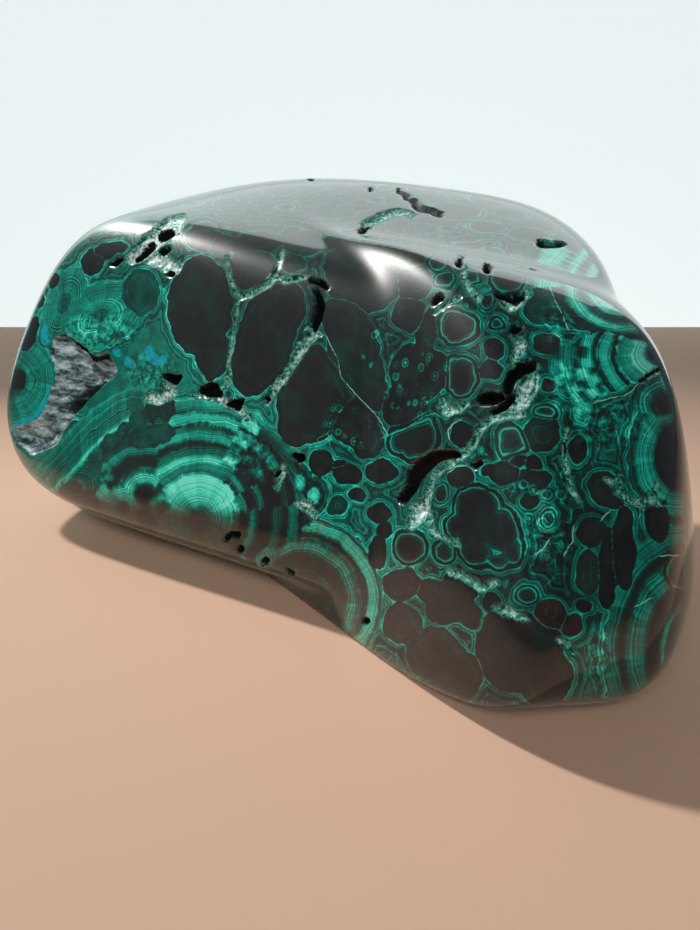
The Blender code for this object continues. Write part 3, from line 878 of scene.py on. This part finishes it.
def finished_mesh():
    """The stone's mesh: skin, relief, flat base and the fields as attributes."""
    bm = skin_ball()
    everything = bm.verts[:] + bm.edges[:] + bm.faces[:]
    bmesh.ops.bisect_plane(bm, geom=everything, plane_co=(0, 0, 0), plane_no=(0, 0, -1),
                           clear_outer=True)
    bmesh.ops.holes_fill(bm, edges=[edge for edge in bm.edges if edge.is_boundary], sides=0)
    bmesh.ops.triangulate(bm, faces=bm.faces)
    drop_folded_faces(bm)
    points = vertex_places(bm)
    ways = ways_through(points)
    normals = skin_normals(ways)
    square = squareness(points, normals)
    fields = grown_fields(points, square)
    sunk = relief(points, fields) * smooth_step(0.0, BASE_FADE, points[:, 2])
    for vertex, point in zip(bm.verts, points - normals * sunk[:, None] + SETTING):
        vertex.co = Vector(point * MM)
    for face in bm.faces:
        face.smooth = True
    mesh = bpy.data.meshes.new("malachite")
    bm.to_mesh(mesh)
    bm.free()
    for name, values in fields.items():
        attribute = mesh.attributes.new(name, "FLOAT", "POINT")
        attribute.data.foreach_set("value", values.astype(np.float32))
    return mesh


# --- Finishes ---


class Value:
    """A socket that carries a number; sums on it add Math nodes."""

    def __init__(self, tree, socket):
        self.tree = tree
        self.socket = socket

    def math(self, operation, *others):
        node = self.tree.nodes.new("ShaderNodeMath")
        node.operation = operation
        for place, other in zip(node.inputs, (self,) + others):
            feed(self.tree, place, other)
        return Value(self.tree, node.outputs[0])

    def __add__(self, other):
        return self.math("ADD", other)

    __radd__ = __add__

    def __sub__(self, other):
        return self.math("SUBTRACT", other)

    def __rsub__(self, other):
        return -self + other

    def __mul__(self, other):
        return self.math("MULTIPLY", other)

    __rmul__ = __mul__

    def __neg__(self):
        return self * -1.0

    def __abs__(self):
        return self.math("ABSOLUTE")

    def least(self, other):
        return self.math("MINIMUM", other)

    def most(self, other):
        return self.math("MAXIMUM", other)

    def within(self, low, high, start=0.0, end=1.0):
        """Eases from start to end as the value goes from low to high."""
        node = self.tree.nodes.new("ShaderNodeMapRange")
        node.interpolation_type = "SMOOTHSTEP"
        for place, number in zip(node.inputs[:5], (self, low, high, start, end)):
            feed(self.tree, place, number)
        return Value(self.tree, node.outputs[0])

    def line(self, half_width, softness):
        """1 where the value is within half_width of nought, 0 away from it."""
        return abs(self).within(half_width + softness, half_width)


def feed(tree, place, value):
    """Links a socket, or sets a plain number or colour on it."""
    if isinstance(value, Value):
        value = value.socket
    if isinstance(value, bpy.types.NodeSocket):
        tree.links.new(value, place)
    else:
        place.default_value = value


class Finish:
    """A material whose nodes are added by name."""

    def __init__(self, name):
        self.material = bpy.data.materials.new(name)
        self.material.use_nodes = True
        self.tree = self.material.node_tree
        self.shader = self.tree.nodes["Principled BSDF"]

    def node(self, kind, settings=None, **inputs):
        node = self.tree.nodes.new("ShaderNode" + kind)
        for key, value in (settings or {}).items():
            setattr(node, key, value)
        for key, value in inputs.items():
            feed(self.tree, node.inputs[key.replace("_", " ")], value)
        return node

    def value(self, socket):
        return Value(self.tree, socket)

    def red(self, color):
        return self.value(self.node("SeparateColor", Color=color).outputs["Red"])

    def field(self, name):
        return self.value(self.node("Attribute", {"attribute_name": name}).outputs["Fac"])

    def noise(self, place, scale, detail=2.0, roughness=0.5):
        node = self.node("TexNoise", Vector=place, Scale=scale, Detail=detail,
                         Roughness=roughness)
        return self.value(node.outputs["Fac"])

    def noise_along(self, value, scale, detail=1.0):
        node = self.node("TexNoise", {"noise_dimensions": "1D"}, W=value, Scale=scale,
                         Detail=detail)
        return self.value(node.outputs["Fac"])

    def ramp(self, value, stops):
        node = self.node("ValToRGB", Fac=value)
        elements = node.color_ramp.elements
        elements.remove(elements[1])
        elements[0].position, elements[0].color = stops[0][0], (*stops[0][1], 1.0)
        for position, color in stops[1:]:
            elements.new(position).color = (*color, 1.0)
        return node.outputs["Color"]

    def blend(self, share, one, other):
        """One colour where share is 0, the other where it is 1."""
        node = self.tree.nodes.new("ShaderNodeMix")
        node.data_type = "RGBA"
        feed(self.tree, node.inputs[0], share)
        feed(self.tree, node.inputs[6], one)
        feed(self.tree, node.inputs[7], other)
        return node.outputs[2]

    def set(self, **inputs):
        for key, value in inputs.items():
            feed(self.tree, self.shader.inputs[key.replace("_", " ")], value)


# Colour by lightness: of the stone, of its brown parts, of the druse and of the hollow.
GREENS = [(0.0, (0.0065, 0.0072, 0.008)), (0.12, (0.009, 0.014, 0.0145)),
          (0.25, (0.003, 0.034, 0.027)), (0.42, (0.002, 0.100, 0.076)),
          (0.58, (0.003, 0.21, 0.155)), (0.75, (0.010, 0.41, 0.30)),
          (0.9, (0.05, 0.62, 0.46)), (1.0, (0.18, 0.78, 0.62))]
# The warm greens also colour the painted brown reflection of the table at the foot of the left fans.
WARM_GREENS = [(0.0, (0.011, 0.008, 0.0075)), (0.12, (0.024, 0.015, 0.013)),
               (0.25, (0.040, 0.028, 0.019)), (0.42, (0.045, 0.075, 0.045)),
               (0.58, (0.05, 0.15, 0.095)), (0.75, (0.09, 0.30, 0.20)),
               (1.0, (0.25, 0.55, 0.4))]
CRUST_COLORS = [(0.0, (0.003, 0.008, 0.007)), (0.3, (0.005, 0.045, 0.035)),
                (0.48, (0.02, 0.2, 0.14)), (0.62, (0.10, 0.38, 0.30)),
                (0.78, (0.38, 0.53, 0.53)), (1.0, (0.74, 0.83, 0.84))]
# The hollow's grey druse; its pale silvery end stands partly for painted glints.
HOLLOW_AND_GLINT_COLORS = [(0.0, (0.004, 0.007, 0.008)), (0.4, (0.014, 0.026, 0.029)),
                 (0.55, (0.06, 0.095, 0.105)), (0.72, (0.23, 0.34, 0.36)),
                 (0.95, (0.62, 0.78, 0.80))]
TURQUOISE = (0.0, 0.33, 0.42, 1.0)
# Holes and the cleft are coloured near black as painted shade inside them.
HOLE_SHADE_COLOR = (0.004, 0.005, 0.005, 1.0)
VEIN_WHITE = (0.35, 0.5, 0.47, 1.0)
STONE_ROUGHNESS = 0.35
BROKEN_ROUGHNESS = 0.6
POLISH = {"Specular_IOR_Level": 0.2, "IOR": 1.5, "Coat_IOR": 1.51, "Coat_Roughness": 0.025}


class Grain:
    """The unevenness that every part of the stone shares, by its place in millimetres."""

    def __init__(self, finish):
        place = finish.node("TexCoord").outputs["Object"]
        self.place = finish.node("VectorMath", {"operation": "SCALE"}, Vector=place,
                                 Scale=1.0 / MM).outputs["Vector"]
        self.jitter = finish.noise(self.place, 0.9, 3.0) - 0.5
        self.waver = finish.noise(self.place, 0.22, 2.0) - 0.5
        self.speckle = finish.noise(self.place, 3.2, 2.0, 0.6)
        self.cloud = finish.noise(self.place, 0.35, 4.0, 0.6)
        self.mist = finish.noise(self.place, 0.16, 5.0, 0.65)
        self.patchy = finish.noise(self.place, 0.55, 3.0, 0.65)
        self.grit = finish.noise(self.place, 1.3, 5.0, 0.75)
        lobes = finish.node("TexVoronoi", {"feature": "F1"}, Vector=self.place, Scale=0.3)
        self.lobe = finish.value(lobes.outputs["Distance"]) - 0.42


def nodule_hearts(finish, grain, nodule):
    """Lightness in the dark nodules: faint cloud, rings, an inner ring and bright seams."""
    seam = finish.field("seam")
    shell = nodule.most(-seam)
    heart = finish.field("nodule_light") + grain.mist.within(0.4, 0.68) * 0.13
    heart = heart + (grain.speckle - 0.5) * 0.1 - 0.02
    rings = finish.noise_along(shell + grain.waver * 0.3, 2.6, 2.0)
    heart = heart + rings.within(0.52, 0.68) * shell.within(-3.0, -0.2) * 0.2
    ring = shell + finish.field("nodule_ring") + grain.waver * 0.3
    heart = heart + ring.line(0.1, 0.14) * 0.48 * grain.cloud.within(0.25, 0.5, 0.4, 1.0)
    heart = heart + (ring + 0.42).line(0.03, 0.1) * 0.2
    return heart + seam.line(0.05, 0.12) * (0.5 - heart) * grain.cloud.within(0.3, 0.5, 0.5, 1.0)


def wavy_ground(finish, grain, nodule, fan):
    """Lightness between them: fine wavy lines along the nodules and fans, and a web."""
    gap = nodule.least(fan.most(0.0))
    lines = finish.noise_along(gap + grain.waver * 1.3 + grain.jitter * 0.3, 2.5, 2.0)
    ground = finish.field("ground") + (grain.cloud - 0.5) * 0.45 - 0.03
    light = ground + (lines.within(0.38, 0.62) - 0.5) * gap.within(4.0, 1.2, 0.08, 0.36)
    fade = grain.cloud.within(0.32, 0.58, 0.15, 1.0) * ground.within(0.12, 0.45, 0.5, 1.0)
    fade = fade * grain.mist.within(0.3, 0.6, 0.5, 1.1)
    light = light + (gap - 0.2).line(0.05, 0.14) * 0.3 * fade
    light = light + (gap - 0.75).line(0.03, 0.12) * 0.16 * fade
    web = finish.node("TexVoronoi", {"feature": "DISTANCE_TO_EDGE"}, Vector=grain.place,
                      Scale=0.26)
    web = finish.value(web.outputs["Distance"]) + grain.jitter * 0.06
    return light + web.line(0.01, 0.03) * gap.within(0.6, 1.6) * ground.within(0.4, 0.25) * 0.22


def fan_bands(finish, grain):
    """Lightness in the fans: broad and fine bands, fibres from the core, faulted wedges."""
    core = finish.field("fan_core")
    bearing = finish.field("fan_bearing")
    fine = finish.noise_along(core + grain.jitter * 0.25, 3.2, 2.0) - 0.5
    fibres = finish.node("CombineXYZ", X=bearing * 9.0, Y=core * 0.06).outputs[0]
    fibre = finish.noise(fibres, 2.2, 3.0, 0.6) - 0.5
    wedges = finish.node("CombineXYZ", X=bearing * 5.0 + core * 0.03, Y=core * 0.11).outputs[0]
    wedges = finish.node("TexVoronoi", {"voronoi_dimensions": "2D", "distance": "CHEBYCHEV"},
                         Vector=wedges, Scale=1.0).outputs["Color"]
    band = finish.field("fan_light")
    uneven = fine * 0.75 + fibre * band.within(0.7, 0.9, 0.36, 0.1)
    uneven = uneven + (finish.red(wedges) - 0.5) * 0.16
    return band + uneven * band.within(0.05, 0.5, 0.25, 1.0)


def tiny_cells(finish, grain):
    """What the patches of tiny round cells add to the lightness."""
    cells = finish.node("TexVoronoi", {"feature": "F1"}, Vector=grain.place, Scale=0.5)
    reach = finish.value(cells.outputs["Distance"])
    lit = finish.red(cells.outputs["Color"]).within(0.35, 0.9)
    ringlets = (reach - 0.4).line(0.03, 0.1) * 0.7 + reach.within(0.3, 0.08)
    return ringlets * finish.field("cells") * lit * 0.56


def grown_stone(finish, grain):
    """The colour of the polished stone with its nodules, fans, veins and turquoise."""
    nodule = finish.field("nodule") + grain.jitter * 0.3 + grain.lobe * 0.9
    fan = finish.field("fan") + grain.jitter * 0.6 + grain.lobe * 1.3
    in_nodule = nodule.within(0.04, -0.05)
    in_fan = fan.within(0.05, -0.07) * (1.0 - in_nodule)

    ground = wavy_ground(finish, grain, nodule, fan)
    light = ground + (nodule_hearts(finish, grain, nodule) - ground) * in_nodule
    light = light + (fan_bands(finish, grain) - light) * in_fan
    light = light + tiny_cells(finish, grain)
    light = light + (grain.patchy.within(0.36, 0.64) - 0.42) * finish.field("mottle") * 0.42

    vein = finish.field("vein").within(0.5, 0.2) * grain.patchy.within(0.36, 0.5)
    vein = vein * (finish.field("vein_side") + grain.jitter * 0.3).line(0.03, 0.1)
    light = light + vein * (0.75 - light)
    light = light + grain.speckle.within(0.74, 0.8) * 0.25

    # The warm tint includes the painted brown reflection of the table at the foot of the left fans.
    warmth = finish.field("nodule_warm") * in_nodule + finish.field("fan_warm_and_table_reflection") * in_fan
    color = finish.blend(warmth * grain.cloud.within(0.3, 0.6),
                         finish.ramp(light, GREENS), finish.ramp(light, WARM_GREENS))
    color = finish.blend(vein * finish.field("vein_white") * 0.8, color, VEIN_WHITE)
    blue = (finish.field("blue") + grain.jitter * 0.8).within(0.15, -0.3)
    return finish.blend(blue * grain.patchy.within(0.34, 0.56, 0.3, 0.9), color, TURQUOISE)


def polished_malachite():
    finish = Finish("polished malachite")
    grain = Grain(finish)
    color = grown_stone(finish, grain)

    coarse = (grain.grit - 0.5) * 3.4
    crust = (finish.field("crust") + coarse + grain.jitter).within(0.12, -0.12)
    druse = (grain.grit - 0.5) * 2.6 + 0.5 + (grain.cloud - 0.5) * 0.8
    druse = druse + finish.field("crust").within(-0.5, -1.4, 0.0, 0.3)
    color = finish.blend(crust, color, finish.ramp(druse, CRUST_COLORS))

    hollow = finish.field("hollow").within(0.1, -0.25)
    streaks = finish.node("Mapping", {}, Vector=grain.place, Rotation=(0.0, 0.9, 0.0),
                          Scale=(0.3, 0.5, 0.9)).outputs[0]
    streaks = (finish.noise(streaks, 0.55, 5.0, 0.6) - 0.5) * 1.7 + 0.5
    # Painted shade darkens the hollow toward its deep end, and the added constant is a painted glint
    # that lifts its grey.
    deep = finish.field("hollow_deep_shaded").within(1.5, -1.0)
    grey = streaks + (grain.grit - 0.5) * 0.6 - deep * 0.5 + 0.18
    color = finish.blend(hollow, color, finish.ramp(grey, HOLLOW_AND_GLINT_COLORS))

    hole = finish.field("hole") + grain.jitter * 0.5 + (grain.grit - 0.5) * 1.9
    hole = hole.within(0.08, -0.12).most(finish.field("cleft").within(0.1, -0.2))
    # Painted shade: the holes and the cleft are coloured near black.
    color = finish.blend(hole, color, HOLE_SHADE_COLOR)

    broken = crust.most(hole).most(hollow)
    finish.set(Base_Color=color,
               Roughness=broken.within(0.0, 1.0, STONE_ROUGHNESS, BROKEN_ROUGHNESS)
               - hollow * 0.14,
               Coat_Weight=1.0 - broken * 0.92, **POLISH)
    bump = finish.node("Bump", {}, Strength=0.6, Distance=0.0004,
                       Height=(grain.grit + streaks * 0.6) * broken)
    finish.set(Normal=bump.outputs["Normal"])
    return finish.material


def malachite():
    mesh = finished_mesh()
    mesh.materials.append(polished_malachite())
    stone = bpy.data.objects.new("malachite", mesh)
    bpy.context.scene.collection.objects.link(stone)
    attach(stone, "root")
    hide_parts("malachite_stone")


# --- The floor, the backdrop, the lamps and the camera, in metres and watts ---

FLOOR_COLOR = (0.56, 0.365, 0.265)
FLOOR_ROUGHNESS = 0.7
FLOOR_SIZE = (4.0, 4.0)
# The backdrop stands square to the view.
BACKDROP_COLOR = (0.50, 0.555, 0.56)
BACKDROP_ROUGHNESS = 0.9
BACKDROP_GLOW = 1.52
BACKDROP_SIZE = (1.55, 0.78)
BACKDROP_PLACE = (-0.423, 0.572, 0.39)
ROOM_COLOR = (0.8, 0.88, 1.0)
ROOM_STRENGTH = 0.06
# Each lamp's place, aim, size, power and colour, its spread in degrees, and whether the
# polish mirrors it.
LAMPS = [
    ("lamp", (-0.56, 0.05, 0.6), (0.0, 0.0, 0.08), (0.06, 0.06), 0.6,
     (1.0, 0.98, 0.95), 50, True),
    ("front fill", (0.2, -0.75, 0.55), (0.0, 0.0, 0.03), (0.5, 0.3), 0.46,
     (1.0, 0.98, 0.95), 46, False),
    ("high panel", (-0.414, 0.554, 0.6), (-0.1, -0.09, 0.6), (1.5, 0.36), 0.6,
     (0.93, 1.0, 1.0), 180, True),
    ("side panel", (-0.80, -0.72, 0.4), (0.0, -0.02, 0.05), (0.36, 1.2), 0.13,
     (0.95, 1.0, 1.0), 180, True),
]
SENSOR_WIDTH = 36.0
NEAREST_VIEW = 0.005


def plain_material(name, color, roughness, glow=0.0):
    finish = Finish(name)
    finish.set(Base_Color=(*color, 1.0), Roughness=roughness, Specular_IOR_Level=0.2,
               Emission_Color=(*color, 1.0), Emission_Strength=glow)
    return finish.material


def stage_sheet(name, material, size, place, turn_x, turn_z):
    bm = bmesh.new()
    bmesh.ops.create_grid(bm, x_segments=1, y_segments=1, size=0.5)
    bmesh.ops.scale(bm, verts=bm.verts, vec=(size[0], size[1], 1.0))
    turn = Matrix.Rotation(turn_z, 3, "Z") @ Matrix.Rotation(turn_x, 3, "X")
    bmesh.ops.rotate(bm, verts=bm.verts, cent=(0, 0, 0), matrix=turn)
    bmesh.ops.translate(bm, verts=bm.verts, vec=place)
    mesh = bpy.data.meshes.new(name)
    bm.to_mesh(mesh)
    bm.free()
    mesh.materials.append(material)
    sheet = bpy.data.objects.new(name, mesh)
    bpy.context.scene.collection.objects.link(sheet)


def area_lamp(name, place, aim, size, power, color, spread, mirrored):
    light = bpy.data.lights.new(name, "AREA")
    light.shape = "RECTANGLE"
    light.size, light.size_y = size
    light.energy = power
    light.spread = math.radians(spread)
    light.color = color
    lamp = bpy.data.objects.new(name, light)
    lamp.location = place
    lamp.rotation_euler = (Vector(aim) - Vector(place)).to_track_quat("-Z", "Y").to_euler()
    lamp.visible_glossy = mirrored
    bpy.context.scene.collection.objects.link(lamp)


def room_light(color, strength):
    world = bpy.data.worlds.new("room")
    bpy.context.scene.world = world
    world.use_nodes = True
    background = world.node_tree.nodes["Background"]
    background.inputs["Color"].default_value = (*color, 1.0)
    background.inputs["Strength"].default_value = strength


def camera():
    data = bpy.data.cameras.new("camera")
    data.sensor_width = SENSOR_WIDTH
    data.lens = SENSOR_WIDTH * FOCAL / PICTURE[1]
    data.clip_start = NEAREST_VIEW
    thing = bpy.data.objects.new("camera", data)
    thing.location = Vector(VIEW_PLACE * MM)
    thing.rotation_euler = (math.pi / 2 - VIEW_DIP, 0.0, VIEW_BEARING)
    bpy.context.scene.collection.objects.link(thing)
    bpy.context.scene.camera = thing


malachite()
stage_sheet("floor", plain_material("pale floor", FLOOR_COLOR, FLOOR_ROUGHNESS),
            FLOOR_SIZE, (0.0, 0.0, 0.0), 0.0, 0.0)
stage_sheet("backdrop", plain_material("pale backdrop", BACKDROP_COLOR, BACKDROP_ROUGHNESS,
                                       BACKDROP_GLOW),
            BACKDROP_SIZE, BACKDROP_PLACE, math.pi / 2, VIEW_BEARING)
for lamp in LAMPS:
    area_lamp(*lamp)
room_light(ROOM_COLOR, ROOM_STRENGTH)
camera()
bpy.context.scene.view_settings.view_transform = "Standard"
